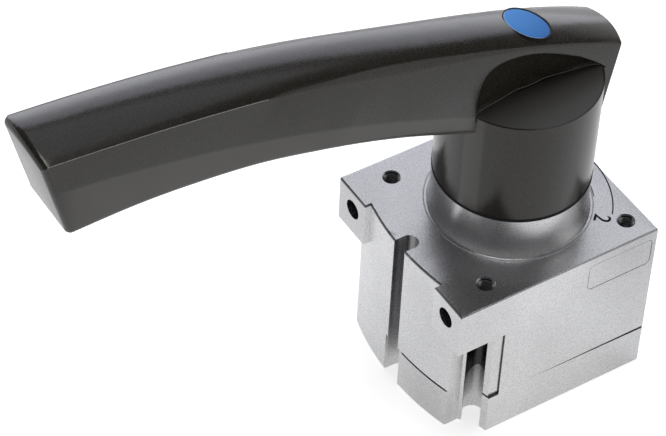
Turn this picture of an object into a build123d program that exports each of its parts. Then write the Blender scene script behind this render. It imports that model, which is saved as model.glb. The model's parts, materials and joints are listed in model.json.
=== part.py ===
from build123d import *
import math
import os

os.makedirs("parts", exist_ok=True)

# Frame: origin on the turning axis at the underside of the base, +Z up, millimetres.
# The lever points to -X at rest, its tail points to +X.

# Housing block
left_x = -33.0
right_x = 27.0
housing_wall = 7.2
flange_top = 50.0
flange_thick = 14.0
seam_z = 13.8
corner_round = 0.6
edge_round = 0.5
bulge_radius = 77.0

# Corner threads (core of M5) and the cross bores for M5 through bolts
corner_inset = 6.7
corner_core_r = 2.1
corner_mouth = 0.35
cross_bore_r = 2.75
cross_bore_z = 44.0

# Left side: lugs, notched corners, diagonal grooves and the middle slot
lug_inset = 5.5
notch_inset = 0.3
notch_run = 4.5
groove_half = 2.5
groove_back_r = 3.0
groove_reach = 12.0
groove_angle = 135.0
groove_lip_run = 1.3
groove_lip_inset = 3.1
groove_rib_run = 0.4
slot_inset = 3.0
slot_round_r = 2.4
slot_half = 2.35
base_slot_half = 3.2

# Front face: stepped rib, plate recess and the shadow gap along the seam
rib_x = -19.0
rib_step = 0.4
recess_x0 = 5.8
recess_x1 = 25.4
recess_z0 = 38.6
recess_z1 = 47.4
recess_round = 1.6
recess_deep = 0.35
seam_gap = 0.9
seam_gap_left = 0.5
seam_gap_deep = 1.0
seam_start_x = -10.0
seam_start_y = 4.0

# Collar and neck on top of the housing
collar_top = 62.6
collar_top_r = 20.3
collar_rim = 0.65
collar_flare = 0.7
collar_flare_h = 5.0
collar_flare_sag = 0.15
well_clear = 2.0
neck_r = 11.0
neck_top = 64.0

# Chamber inside the housing
ceiling_z = 39.0

# Ports in the underside (G1/4) and their seals
port_at = 14.85
port_thread_r = 6.58
port_deep = 9.5
passage_r = 3.4
port_mouth_chamfer = 0.6
seal_pocket_r = 5.3
seal_pocket_deep = 1.8
seal_proud = 0.1

# Clamping screws (M4, at the core of the thread) from below
clamp_left_inset = 6.5
clamp_left_drop = 7.0
clamp_right_inset = 5.5
clamp_shank_r = 1.65
clamp_head_r = 3.5
clamp_head_h = 4.0
clamp_head_sink = 0.4
clamp_grip = 10.5
clamp_hex = 3.0

# Gasket ring between the two housings
gasket_inset = 2.5
gasket_wire = 1.8
gasket_groove = 2.4
gasket_groove_deep = 1.5

# Rotary valve discs
seat_thick = 4.0
seat_clear = 0.3
disc_thick = 6.0
disc_rim = 1.25
disc_clear = 1.5
kidney_deep = 3.0
kidney_swing = 45.0
kidney_angles = (135.0, 315.0)
disc_running_gap = 0.05
seat_pin_r = 1.5
seat_pin_inset = 3.7
seat_pin_long = 5.5

# Spindle and what it carries
shaft_r = 6.0
square = 10.0
square_top = 88.0
spring_space = 6.0
flange_inset = 4.0
flange_h = 4.0
pilot_r = 5.8
pilot_deep = 2.0
key_square = 13.0
key_round_r = 8.0
plate_clear = 1.8
plate_h = 3.0
drive_pin_r = 2.0
drive_pin_inset = 3.0
drive_pin_deep = 2.5
washer_clear = 1.5
washer_h = 1.8
spring_wire = 1.2
spring_clear = 0.3

# Bush and seal of the spindle
bush_r = 8.0
bush_z0 = 41.0
bush_h = 14.0
running_clear = 0.03
shaft_seal_wire_r = 1.0
shaft_seal_z = 59.3
shaft_seal_gap = 0.25
ring_h = 1.2
ring_out_r = 8.6
ring_groove = 0.7

# Detent and stop
detent_angle = 45.0
detent_steps = (-2, -1, 0, 1, 2)
detent_inset = 3.7
ball_r = 2.2
ball_lift = 0.25
ball_bore_clear = 0.2
ball_bore_cover = 5.0
pocket_deep = 0.9
spring_turns = 4
spring_flat = 0.6
stop_inset = 2.5
stop_r = 1.5
stop_slot_clear = 0.3
stop_margin = 2.0
stop_up = 8.0
turn_range = 45.0

# Lever hub
hub_z = 94.1
hub_gap = 0.3
skirt_clear = 0.35
hub_bottom = 55.0
hub_wall = 2.4
hub_roof = 4.0
hub_dome = 0.2
dome_share = 0.75
boss_r = 9.5
boss_bottom = 67.0
hub_rib = 2.4
socket_clear = 0.05
square_clear = 0.5

# Lever arm, seen from the side: the line along the top of its crown and the line along its underside
arm_top_line = [
    (-140.0, 138.9), (-110.0, 136.3), (-80.0, 132.0), (-50.0, 125.5), (-25.0, 118.4), (0.0, 110.4),
    (27.0, 98.9),
]
arm_low_line = [
    (-140.0, 112.4), (-126.0, 112.8), (-111.0, 113.0), (-95.0, 111.8), (-80.0, 109.6), (-65.0, 105.8),
    (-50.0, 100.9), (-35.0, 94.9), (-22.0, 88.9), (-10.0, 83.3),
]
arm_half_line = [(-140.0, 9.25), (-80.0, 8.95), (-40.0, 8.35), (-10.0, 7.9)]
arm_half = 7.8
arm_crown = 2.0
arm_underside_round = 1.8
crease_line = [(-78.0, 0.3), (-62.0, 1.6), (-47.0, 3.1), (-33.0, 3.0), (-17.0, 1.9), (0.0, 1.1), (27.0, 0.8)]
belly_line = [(-84.0, 1.4), (-66.0, 1.9), (-48.0, 2.6), (-30.0, 3.2), (-11.0, 3.5)]
edge_steps = 16
edge_bite = 0.02
edge_spare = 2.0
tip_top = (-135.2, 137.2)
tip_low = (-129.2, 112.5)
tip_reach = 10.0
tip_round = 1.6
tail_top_r = 24.9
tail_top_z = 98.5
tail_low_r = 19.4
tail_low_z = 66.0
tail_reach = 1.0

# Scoops in both sides of the arm above the hub
scoop_deep = 3.1
scoop_line = [
    (-19.2, 93.0), (-19.0, 101.0), (-16.0, 108.3), (-8.5, 109.3), (1.5, 106.0), (9.9, 101.2), (19.8, 93.0),
]
scoop_shares = (1.0, 0.92, 0.75, 0.45, 0.12)
scoop_start = (0, 1)
scoop_finish = (0.72, -0.69)

# Cap and lever screw
cap_r = 6.1
cap_tilt = 20.0
cap_centre_z = 110.2
cap_h = 2.2
cap_gap = 0.2
cap_dome = 0.3
cap_stem_r = 3.5
cap_stem_bottom = 102.0
screw_r = 2.0
screw_head_r = 3.5
screw_head_h = 4.0
screw_hex = 3.0
screw_bottom = 76.0
screw_seat = 96.0
counterbore_r = 3.8
lever_washer_h = 0.8
thread_clear = 0.05

# Radii that follow from the ring of ports
port_offset = port_at / math.sqrt(2)
disc_r = port_at + passage_r + disc_rim
chamber_r = disc_r + disc_clear
seat_r = chamber_r - seat_clear
seat_pin_at = seat_r - seat_pin_inset
plate_r = chamber_r - plate_clear
flange_r = disc_r - flange_inset
drive_pin_at = flange_r - drive_pin_inset
spring_outer_r = drive_pin_at - drive_pin_r - spring_clear
detent_at = plate_r - detent_inset
stop_at = detent_at - stop_inset
washer_r = stop_at - stop_r - washer_clear
gasket_r = chamber_r + gasket_inset

# Plan of the housing that follows from the chamber
half_depth = chamber_r + housing_wall
corner = half_depth - corner_inset
lug_inner_y = corner - lug_inset
notch_y = corner - notch_inset
notch_x = -corner - notch_run
groove_lip = (-corner - groove_lip_run, half_depth - groove_lip_inset)
groove_rib_x = -corner - groove_rib_run
slot_centre_x = left_x + slot_inset
clamp_left = (left_x + clamp_left_inset, corner - clamp_left_drop)
clamp_right = (right_x - clamp_right_inset, corner)

# Collar and hub, which run together
collar_base_r = collar_top_r + collar_flare
collar_bore_r = collar_top_r - collar_rim
well_floor = hub_bottom - well_clear
ball_bore_top = well_floor - ball_bore_cover
hub_r = collar_top_r
hub_rim_z = collar_top + hub_gap
skirt_r = collar_bore_r - skirt_clear

# Heights that follow from the stack inside the chamber
flange_bottom = flange_top - flange_thick
seat_z0 = seam_z + seal_proud
seat_z1 = seat_z0 + seat_thick
disc_z0 = seat_z1 + disc_running_gap
disc_z1 = disc_z0 + disc_thick
spindle_flange_z0 = disc_z1 + spring_space
spindle_flange_z1 = spindle_flange_z0 + flange_h
plate_z1 = spindle_flange_z1 + plate_h

# Limits of the arm
arm_end, arm_tip_half = arm_half_line[0]
arm_root, arm_root_half = arm_half_line[-1]
tail_end, tail_end_z = arm_top_line[-1]
crown_r = (arm_tip_half**2 + arm_crown**2) / (2 * arm_crown)
crown_margin = 5.0
very_long = 200.0


def save(shape, node):
    export_step(shape, f"parts/{node}.step")


def rod(radius, z0, z1, x=0.0, y=0.0):
    """Upright cylinder between two heights."""
    return Pos(x, y, (z0 + z1) / 2) * Cylinder(radius, z1 - z0)


def block(x0, x1, y0, y1, z0, z1):
    """Box between three pairs of limits."""
    return Pos((x0 + x1) / 2, (y0 + y1) / 2, (z0 + z1) / 2) * Box(x1 - x0, y1 - y0, z1 - z0)


def ring(outer, inner, z0, z1, x=0.0, y=0.0):
    return rod(outer, z0, z1, x, y) - rod(inner, z0 - 1, z1 + 1, x, y)


def turned(points):
    """Solid of revolution about Z from (radius, height) points."""
    outline = Polyline([(r, 0, z) for r, z in points] + [(points[0][0], 0, points[0][1])])
    return revolve(make_face(outline), Axis.Z, 360)


def polar(radius, degrees):
    return radius * math.cos(math.radians(degrees)), radius * math.sin(math.radians(degrees))


def bulge_x(y):
    """Place of the bowed left wall at a given y."""
    return left_x + bulge_radius - math.sqrt(bulge_radius**2 - y**2)


def corners():
    return [(sx * corner, sy * corner) for sx in (-1, 1) for sy in (-1, 1)]


def port_places():
    return [(sx * port_offset, sy * port_offset) for sx in (-1, 1) for sy in (-1, 1)]


def clamp_places():
    return [(x, s * y) for x, y in (clamp_left, clamp_right) for s in (-1, 1)]


def flange_outline():
    """Plan of the top flange, with the bowed wall between two lugs."""
    inner = bulge_x(lug_inner_y)
    edge = Polyline(
        (inner, -lug_inner_y), (left_x, -lug_inner_y), (left_x, -half_depth), (right_x, -half_depth),
        (right_x, half_depth), (left_x, half_depth), (left_x, lug_inner_y), (inner, lug_inner_y),
    )
    return make_face(edge + ThreePointArc((inner, lug_inner_y), (left_x, 0), (inner, -lug_inner_y)))


def body_outline():
    """Plan below the flange: bowed left wall and notched left corners."""
    wall = bulge_x(notch_y)
    lip_x, lip_y = groove_lip
    edge = Polyline(
        (wall, -notch_y), (notch_x, -notch_y), (lip_x, -lip_y), (groove_rib_x, -half_depth),
        (right_x, -half_depth), (right_x, half_depth), (groove_rib_x, half_depth), (lip_x, lip_y),
        (notch_x, notch_y), (wall, notch_y),
    )
    return make_face(edge + ThreePointArc((wall, notch_y), (left_x, 0), (wall, -notch_y)))


def upright_edges(shape, x, y_size):
    """Vertical edges that stand at the given x and at plus or minus y."""
    near = 0.05
    return [
        e for e in shape.edges().filter_by(Axis.Z)
        if abs(e.center().X - x) < near and abs(abs(e.center().Y) - y_size) < near
    ]


def diagonal_groove(side, z0, z1):
    """Groove that runs out of the notched corner from the corner thread."""
    run = Rot(0, 0, side * groove_angle) * block(0, groove_reach, -groove_half, groove_half, z0, z1)
    return Pos(-corner, side * corner, 0) * run + rod(groove_back_r, z0, z1, -corner, side * corner)


def middle_slot(round_r, half, z0, z1):
    """Upright slot in the middle of the left wall, open to the left."""
    mouth = block(left_x - 1, slot_centre_x, -half, half, z0, z1)
    return mouth + rod(round_r, z0, z1, slot_centre_x, 0)


def front_recess():
    """Shallow round-cornered recess in the front of the flange."""
    wide = recess_x1 - recess_x0
    high = recess_z1 - recess_z0
    middle = ((recess_x0 + recess_x1) / 2, -half_depth, (recess_z0 + recess_z1) / 2)
    front = Plane(origin=middle, x_dir=(1, 0, 0), z_dir=(0, -1, 0))
    return extrude(front * RectangleRounded(wide, high, recess_round), recess_deep, both=True)


def rib_cut():
    """Step that sets the ribs at the left ends of the front and back walls back."""
    cuts = []
    for s in (-1, 1):
        y0, y1 = sorted((s * (half_depth - rib_step), s * (half_depth + 1)))
        cuts.append(block(left_x, rib_x, y0, y1, seam_z - 1, flange_bottom))
    return cuts


def make_collar():
    """Flared collar, still solid."""
    flare = ThreePointArc(
        (collar_base_r, 0, flange_top),
        ((collar_base_r + collar_top_r) / 2 - collar_flare_sag, 0, flange_top + collar_flare_h / 2),
        (collar_top_r, 0, flange_top + collar_flare_h),
    )
    rest = Polyline(
        (collar_top_r, 0, flange_top + collar_flare_h), (collar_top_r, 0, collar_top),
        (0, 0, collar_top), (0, 0, flange_top), (collar_base_r, 0, flange_top),
    )
    return revolve(make_face(flare + rest), Axis.Z, 360)


def make_upper_housing():
    flange = extrude(flange_outline(), flange_thick)
    flange = fillet(upright_edges(flange, left_x, half_depth) + upright_edges(flange, right_x, half_depth),
                    corner_round)
    flange = Pos(0, 0, flange_bottom) * flange
    top = flange.faces().sort_by(Axis.Z)[-1]
    flange = fillet(top.outer_wire().edges(), edge_round)
    body = extrude(body_outline(), flange_bottom - seam_z)
    body = fillet(upright_edges(body, bulge_x(notch_y), notch_y) + upright_edges(body, right_x, half_depth),
                  corner_round)
    shape = flange + Pos(0, 0, seam_z) * body + make_collar() + rod(neck_r, flange_top, neck_top)
    shape -= ring(collar_bore_r, neck_r, well_floor, collar_top + 1)
    shape -= rod(chamber_r, seam_z - 1, ceiling_z)
    shape -= rod(bush_r + running_clear, ceiling_z - 1, bush_z0 + bush_h)
    shape -= rod(shaft_r + shaft_seal_gap, ceiling_z, neck_top + 1)
    shape -= rod(shaft_r + shaft_seal_gap + 2 * shaft_seal_wire_r,
                 shaft_seal_z - shaft_seal_wire_r, shaft_seal_z + shaft_seal_wire_r)
    for s in (-1, 1):
        shape -= diagonal_groove(s, seam_z - 1, flange_bottom)
        bore = Pos((left_x + right_x) / 2, s * corner, cross_bore_z) * Rot(0, 90, 0)
        shape -= bore * Cylinder(cross_bore_r, right_x - left_x + 2)
    for x, y in corners():
        shape -= rod(corner_core_r, flange_bottom, flange_top + 1, x, y)
        shape -= Pos(x, y, flange_top - corner_mouth / 2) * Cone(corner_core_r, corner_core_r + corner_mouth,
                                                                 corner_mouth)
    for x, y in clamp_places():
        shape -= rod(clamp_shank_r + thread_clear, seam_z - 1, seam_z + clamp_grip + 1, x, y)
    shape -= middle_slot(slot_round_r, slot_half, seam_z - 1, flange_top + 1)
    for s in (-1, 1):
        x, y = polar(detent_at, s * detent_angle)
        shape -= rod(ball_r + ball_bore_clear, ceiling_z - 1, ball_bore_top, x, y)
    shape -= rod(stop_r, ceiling_z - 1, ceiling_z + stop_up, -stop_at, 0)
    shape -= front_recess()
    for cut in rib_cut():
        shape -= cut
    return shape


def seam_shadow():
    """Gap that opens along the seam at the front and left of the base."""
    wedge = Plane(origin=(0, -half_depth - 1, 0), x_dir=(1, 0, 0), z_dir=(0, -1, 0)) * make_face(
        Polyline((seam_start_x, seam_z), (right_x + 1, seam_z - seam_gap), (right_x + 1, seam_z + 1),
                 (seam_start_x, seam_z + 1), (seam_start_x, seam_z))
    )
    front = extrude(wedge, -(seam_gap_deep + 1))
    left = block(left_x - 1, bulge_x(notch_y) + seam_gap_deep, -notch_y - 1, -seam_start_y,
                 seam_z - seam_gap_left, seam_z + 1)
    inner = block(bulge_x(lug_inner_y) + seam_gap_deep, 0, -notch_y - 2, 0, 0, flange_top)
    return front, left - inner


def make_base_housing():
    base = extrude(body_outline(), seam_z)
    base = fillet(upright_edges(base, bulge_x(notch_y), notch_y) + upright_edges(base, right_x, half_depth),
                  corner_round)
    low = base.faces().sort_by(Axis.Z)[0]
    base = chamfer(low.outer_wire().edges(), edge_round)
    for x, y in port_places():
        base -= rod(port_thread_r, -1, port_deep, x, y)
        base -= Pos(x, y, port_mouth_chamfer / 2) * Cone(
            port_thread_r + port_mouth_chamfer, port_thread_r, port_mouth_chamfer)
        base -= rod(passage_r, 0, seam_z + 1, x, y)
        base -= rod(seal_pocket_r, seam_z - seal_pocket_deep, seam_z + 1, x, y)
    for x, y in clamp_places():
        base -= rod(clamp_shank_r + 2 * thread_clear, 0, seam_z + 1, x, y)
        base -= rod(clamp_head_r + clamp_head_sink, -1, clamp_head_h + clamp_head_sink, x, y)
    base -= ring(gasket_r + gasket_groove / 2, gasket_r - gasket_groove / 2,
                 seam_z - gasket_groove_deep, seam_z + 1)
    base -= rod(seat_pin_r + running_clear, seam_z - seat_pin_long / 2, seam_z + 1, 0, -seat_pin_at)
    base -= middle_slot(base_slot_half, base_slot_half, -1, seam_z + 1)
    for s in (-1, 1):
        base -= diagonal_groove(s, -1, seam_z + 1)
    front, left = seam_shadow()
    return base - front - left


def make_gasket():
    """Gasket ring, flattened to its groove by the clamping screws."""
    return ring(gasket_r + gasket_wire / 2, gasket_r - gasket_wire / 2, seam_z - gasket_groove_deep, seam_z)


def make_clamp_screw(x, y):
    head_z1 = clamp_head_h + clamp_head_sink
    screw = rod(clamp_head_r, clamp_head_sink, head_z1, x, y)
    screw += rod(clamp_shank_r, head_z1, seam_z + clamp_grip, x, y)
    hexagon = Pos(x, y, clamp_head_sink) * RegularPolygon(clamp_hex / 2, 6, major_radius=False)
    return screw - extrude(hexagon, clamp_head_h / 2)


def make_port_seals():
    z0 = seam_z - seal_pocket_deep
    return [ring(seal_pocket_r - thread_clear, passage_r, z0, seat_z0, x, y) for x, y in port_places()]


def make_seat_disc():
    disc = rod(seat_r, seat_z0, seat_z1)
    for x, y in port_places():
        disc -= rod(passage_r, seat_z0 - 1, seat_z1 + 1, x, y)
    return disc - rod(seat_pin_r + running_clear, seat_z0 - 1, seam_z + seat_pin_long / 2, 0, -seat_pin_at)


def kidney(middle, swing, half, centre_r, z0, z1):
    """Arc-shaped slot with round ends."""
    sector = ring(centre_r + half, centre_r - half, z0, z1)
    reach = 2 * centre_r
    ax, ay = polar(reach, middle - swing)
    bx, by = polar(reach, middle)
    cx, cy = polar(reach, middle + swing)
    wedge = make_face(Polyline((0, 0), (ax, ay), (bx, by), (cx, cy), (0, 0)))
    slot = sector & Pos(0, 0, z0) * extrude(wedge, z1 - z0)
    for angle in (middle - swing, middle + swing):
        x, y = polar(centre_r, angle)
        slot += rod(half, z0, z1, x, y)
    return slot


def make_control_disc():
    """Turning disc whose two kidneys link neighbouring ports at either end of the travel."""
    disc = rod(disc_r, disc_z0, disc_z1)
    for middle in kidney_angles:
        disc -= kidney(middle, kidney_swing, passage_r, port_at, disc_z0 - 1, disc_z0 + kidney_deep)
    disc -= rod(pilot_r + running_clear, disc_z1 - pilot_deep, disc_z1 + 1)
    for s in (-1, 1):
        disc -= rod(drive_pin_r + running_clear, disc_z1 - drive_pin_deep, disc_z1 + 1, 0, s * drive_pin_at)
    return disc


def key_block(half, round_r, z0, z1):
    """Square with rounded corners that drives the detent plate."""
    return block(-half, half, -half, half, z0, z1) & rod(round_r, z0, z1)


def make_spindle():
    spindle = rod(pilot_r, disc_z1 - pilot_deep + running_clear, spindle_flange_z0)
    spindle += rod(flange_r, spindle_flange_z0, spindle_flange_z1)
    spindle += key_block(key_square / 2, key_round_r, spindle_flange_z1, plate_z1)
    spindle += rod(shaft_r, plate_z1, neck_top + ring_h * 2)
    drive = block(-square / 2, square / 2, -square / 2, square / 2, neck_top, square_top)
    spindle += drive & rod(shaft_r, neck_top, square_top)
    spindle -= ring(shaft_r + 1, shaft_r - ring_groove, neck_top + ring_h / 3, neck_top + ring_h * 4 / 3)
    spindle -= rod(screw_r, screw_bottom - 2, square_top + 1)
    for s in (-1, 1):
        spindle -= rod(drive_pin_r, spindle_flange_z0 - 1, spindle_flange_z1 + 1, 0, s * drive_pin_at)
    return spindle


def make_drive_pins():
    z0 = disc_z1 - drive_pin_deep + running_clear
    return [rod(drive_pin_r, z0, spindle_flange_z1, 0, s * drive_pin_at) for s in (-1, 1)]


def make_disc_springs():
    """Pair of coned springs that press the control disc on its seat."""
    inner = pilot_r + 2 * ball_bore_clear
    middle = (disc_z1 + spindle_flange_z0) / 2
    lower = turned([(spring_outer_r, disc_z1), (spring_outer_r, disc_z1 + spring_wire),
                    (inner, middle), (inner, middle - spring_wire)])
    upper = turned([(spring_outer_r, spindle_flange_z0), (spring_outer_r, spindle_flange_z0 - spring_wire),
                    (inner, middle), (inner, middle + spring_wire)])
    return [lower, upper]


def make_detent_plate():
    plate = rod(plate_r, spindle_flange_z1, plate_z1)
    plate -= key_block(key_square / 2 + running_clear, key_round_r + running_clear,
                       spindle_flange_z1 - 1, plate_z1 + 1)
    plate -= kidney(180, turn_range + stop_margin, stop_r + stop_slot_clear, stop_at,
                    spindle_flange_z1 - 1, plate_z1 + 1)
    for step in detent_steps:
        x, y = polar(detent_at, step * detent_angle)
        plate -= Pos(x, y, plate_z1 + ball_r - pocket_deep) * Sphere(ball_r)
    return plate


def make_stop_pin():
    return rod(stop_r, spindle_flange_z1 + plate_h / 3, ceiling_z + stop_up, -stop_at, 0)


def ball_places():
    return [polar(detent_at, s * detent_angle) for s in (-1, 1)]


def make_balls():
    z = plate_z1 + ball_lift + ball_r
    return [Pos(x, y, z) * Sphere(ball_r) for x, y in ball_places()]


def make_detent_springs():
    """Flat-wire coil springs between the balls and the ends of their bores."""
    z0 = plate_z1 + ball_lift + 2 * ball_r + spring_flat / 2
    height = ball_bore_top - spring_flat / 2 - z0
    radius = ball_r - spring_flat / 2
    springs = []
    for x, y in ball_places():
        path = Helix(pitch=height / spring_turns, height=height, radius=radius)
        start = Plane(origin=path @ 0, z_dir=path % 0, x_dir=(0, 0, 1))
        wire = sweep(start * Rectangle(spring_flat, spring_flat), path, is_frenet=True)
        springs.append(Pos(x, y, z0) * wire)
    return springs


def make_bush():
    return ring(bush_r, shaft_r + running_clear, bush_z0, bush_z0 + bush_h)


def make_shaft_seal():
    centre = shaft_r + shaft_seal_gap + shaft_seal_wire_r
    return Pos(0, 0, shaft_seal_z) * Torus(centre, shaft_seal_wire_r)


def make_thrust_washer():
    return ring(washer_r, shaft_r + running_clear, plate_z1, plate_z1 + washer_h)


def make_retaining_ring():
    z0 = neck_top + ring_h / 3 + running_clear
    z1 = neck_top + ring_h * 4 / 3 - running_clear
    clip = ring(ring_out_r, shaft_r - ring_groove + running_clear, z0, z1)
    return clip - block(0, very_long, -shaft_r / 2, shaft_r / 2, z0 - 1, z1 + 1)


def arm_side():
    """Side view of the arm, as thick as its plan needs."""
    top = Spline([(x, 0, z) for x, z in arm_top_line])
    low = Spline([(x, 0, z) for x, z in arm_low_line])
    low_z = arm_low_line[-1][1]
    close = Polyline(low @ 1, (tail_end, 0, low_z), (tail_end, 0, tail_end_z))
    outline = make_face(top + low + close + Line(top @ 0, low @ 0))
    return extrude(outline, very_long / 2, dir=(0, 1, 0), both=True)


def arm_plan():
    """Plan of the arm, which widens from the hub to the tip."""
    near = Spline([(x, -half) for x, half in arm_half_line])
    far = Spline([(x, half) for x, half in arm_half_line])
    root = Polyline(near @ 1, (tail_end, -arm_half), (tail_end, arm_half), far @ 1)
    return extrude(make_face(near + root + far + Line(far @ 0, near @ 0)), very_long)


def arm_crown_sweep():
    """Round-topped section that follows the line of the crown."""
    path = Spline([(x, 0, z) for x, z in arm_top_line])
    half = arm_tip_half + crown_margin
    drop = crown_r - math.sqrt(crown_r**2 - half**2)
    deep = arm_top_line[0][1] - hub_z
    outline = ThreePointArc((-half, -drop), (0, 0), (half, -drop)) + Polyline(
        (half, -drop), (half, -deep), (-half, -deep), (-half, -drop))
    across = Plane(origin=path @ 0, x_dir=(0, 1, 0), z_dir=path % 0)
    return sweep(across * make_face(outline), path)


def share_at(line, x):
    """Share of the way along a line at which it reaches a given x."""
    low, high = 0.0, 1.0
    while high - low > 1e-6:
        middle = (low + high) / 2
        if (line @ middle).X < x:
            low = middle
        else:
            high = middle
    return low


def arm_width_at(x):
    """Half the width of the arm at a given x."""
    if x > arm_root:
        return arm_root_half + (arm_half - arm_root_half) * (x - arm_root) / (tail_end - arm_root)
    line = Spline(arm_half_line)
    return (line @ share_at(line, x)).Y


def edge_section(across, centre, radius, start, finish, half):
    """Section of a cutter that leaves an edge rounded, from one angle of the rounding to the other."""
    middle = (start + finish) / 2
    centre += Vector(math.cos(middle), math.sin(middle)) * radius * edge_bite
    spare = math.radians(edge_spare)
    first, top, last = [
        centre + Vector(math.cos(a), math.sin(a)) * radius for a in (start - spare, middle, finish + spare)
    ]
    out = radius + 1
    side_out, end_out = [Vector(math.cos(a), math.sin(a)) * out for a in (start, finish)]
    far = Vector(half + out, math.copysign(out, middle))
    outline = ThreePointArc(first, top, last) + Polyline(last, last + end_out, far, first + side_out, first)
    return across * make_face(outline)


def edge_cut(side, path_points, radius_points, section):
    """Cutter that rounds a long edge of the arm with a radius that changes along it."""
    path = Spline([(x, 0, z) for x, z in path_points])
    swell = Spline(radius_points)
    start, end = radius_points[0][0], radius_points[-1][0]
    sections = []
    for step in range(edge_steps + 1):
        x = start + (end - start) * step / edge_steps
        share = share_at(path, x)
        across = Plane(origin=path @ share, x_dir=(0, side, 0), z_dir=(path % share) * side)
        radius = (swell @ share_at(swell, x)).Y
        sections.append(section(across, arm_width_at(x), radius))
    return loft(sections)


def crease_section(across, half, radius):
    """Rounding between the crown and one side of the arm."""
    tilt = math.asin((half - radius) / (crown_r - radius))
    centre = Vector(half - radius, (crown_r - radius) * math.cos(tilt) - crown_r)
    return edge_section(across, centre, radius, 0, math.pi / 2 - tilt, half)


def belly_section(across, half, radius):
    """Rounding between the underside and one side of the arm."""
    return edge_section(across, Vector(half - radius, radius), radius, -math.pi / 2, 0, half)


def make_arm():
    """Arm with its rounded edges and its slanted, rounded end."""
    whole = arm_side() & arm_plan()
    outer = whole & block(arm_end - 1, arm_root, -very_long, very_long, 0, very_long)
    low_edges = [
        e for e in outer.edges()
        if arm_end + 1 < e.center().X < arm_root - 1 and e.center().Z < tip_low[1] and abs(e.center().Y) > 1
    ]
    arm = fillet(low_edges, arm_underside_round) + (whole - outer)
    arm = arm & arm_crown_sweep()
    arm -= tip_cut()
    flat = arm.faces().filter_by(GeomType.PLANE)
    end = [f for f in flat if f.center().X < tip_low[0] and f.normal_at().X < -0.9]
    arm = fillet(end[0].outer_wire().edges(), tip_round)
    for side in (-1, 1):
        arm -= edge_cut(side, arm_top_line, crease_line, crease_section)
        arm -= edge_cut(side, arm_low_line, belly_line, belly_section)
    return arm


def tail_cone():
    """Round cone about the turning axis that ends the tail."""
    slope = (tail_top_r - tail_low_r) / (tail_top_z - tail_low_z)
    top_z = arm_top_line[0][1]
    top_r = tail_top_r + slope * (top_z - tail_top_z)
    return turned([(0, tail_low_z), (tail_low_r, tail_low_z), (top_r, top_z), (0, top_z)])


def tip_cut():
    """Slanted plane that ends the arm."""
    (tx, tz), (bx, bz) = tip_top, tip_low
    run = (bx - tx) / (tz - bz)
    high, low = tz + tip_reach, bz - tip_reach
    outline = Polyline((tx - (high - tz) * run, high), (bx + (bz - low) * run, low),
                       (tx - very_long, low), (tx - very_long, high), (tx - (high - tz) * run, high))
    side = Plane(origin=(0, 0, 0), x_dir=(1, 0, 0), z_dir=(0, -1, 0)) * make_face(outline)
    return extrude(side, very_long / 2, both=True)


def scoop_arch(side, depth, share):
    """Outline of the scoop at a depth below the side of the arm, drawn in by a share."""
    base_z = scoop_line[0][1]
    points = [(x * share, base_z + (z - base_z) * share) for x, z in scoop_line]
    curve = Spline(points, tangents=[scoop_start, scoop_finish])
    plane = Plane(origin=(0, side * (arm_half - depth), 0), x_dir=(1, 0, 0), z_dir=(0, -1, 0))
    return plane * make_face(curve + Line(points[-1], points[0]))


def scoop(side):
    """Cutter for the dished scoop in one side of the arm."""
    dish = loft([scoop_arch(side, scoop_deep * math.sqrt(1 - s * s), s) for s in scoop_shares])
    outer = loft([scoop_arch(side, -1.0, 1.0), scoop_arch(side, 0.0, 1.0)])
    return dish + outer


def hub_outside():
    """Round hub with a low dome on top, and below it a skirt that reaches into the collar."""
    outline = Polyline((0, 0, hub_bottom), (skirt_r, 0, hub_bottom), (skirt_r, 0, hub_rim_z),
                       (hub_r, 0, hub_rim_z), (hub_r, 0, hub_z))
    peak = hub_z + hub_dome
    dome = ThreePointArc((hub_r, 0, hub_z), (hub_r / 2, 0, hub_z + hub_dome * dome_share), (0, 0, peak))
    back = Line((0, 0, peak), (0, 0, hub_bottom))
    return revolve(make_face(outline + dome + back), Axis.Z, 360)


def hub_hollow():
    """Space inside the hub, around the spindle boss and its four ribs."""
    roof = hub_z - hub_roof
    cavity = rod(skirt_r - hub_wall, hub_bottom - 1, roof)
    inside = rod(boss_r, boss_bottom, roof)
    for turn in (0, 90):
        rib = block(-hub_r, hub_r, -hub_rib / 2, hub_rib / 2, boss_bottom + hub_wall, roof)
        inside += Rot(0, 0, turn) * rib
    return cavity - inside


def make_lever():
    arm = make_arm()
    arm += block(0, tail_top_r + tail_reach, -arm_half, arm_half, tail_low_z, hub_z + tail_reach)
    arm &= tail_cone() + block(-very_long, 0, -very_long / 2, very_long / 2, 0, very_long)
    for side in (-1, 1):
        arm -= scoop(side)
    lever = arm + hub_outside() - hub_hollow()
    half = square / 2 + socket_clear
    socket = block(-half, half, -half, half, boss_bottom - 1, square_top + square_clear)
    lever -= socket & rod(shaft_r + socket_clear * 2, boss_bottom - 1, very_long)
    lever -= rod(screw_r + 2 * thread_clear, square_top, screw_seat + 1)
    lever -= rod(counterbore_r, screw_seat, cap_centre_z)
    pocket = Pos(0, 0, very_long / 2 - cap_h) * Cylinder(cap_r + cap_gap, very_long)
    return lever - cap_place() * pocket


def cap_place():
    """Place of the cap's face, tipped with the slope of the arm."""
    return Pos(0, 0, cap_centre_z) * Rot(0, cap_tilt, 0)


def make_cap():
    cap = cap_place() * Pos(0, 0, -cap_h / 2) * Cylinder(cap_r, cap_h)
    top = cap.edges().group_by(Axis.Z)[-1]
    cap = chamfer(top, cap_dome)
    return cap + rod(cap_stem_r, cap_stem_bottom, cap_centre_z - cap_h / 2)


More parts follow.
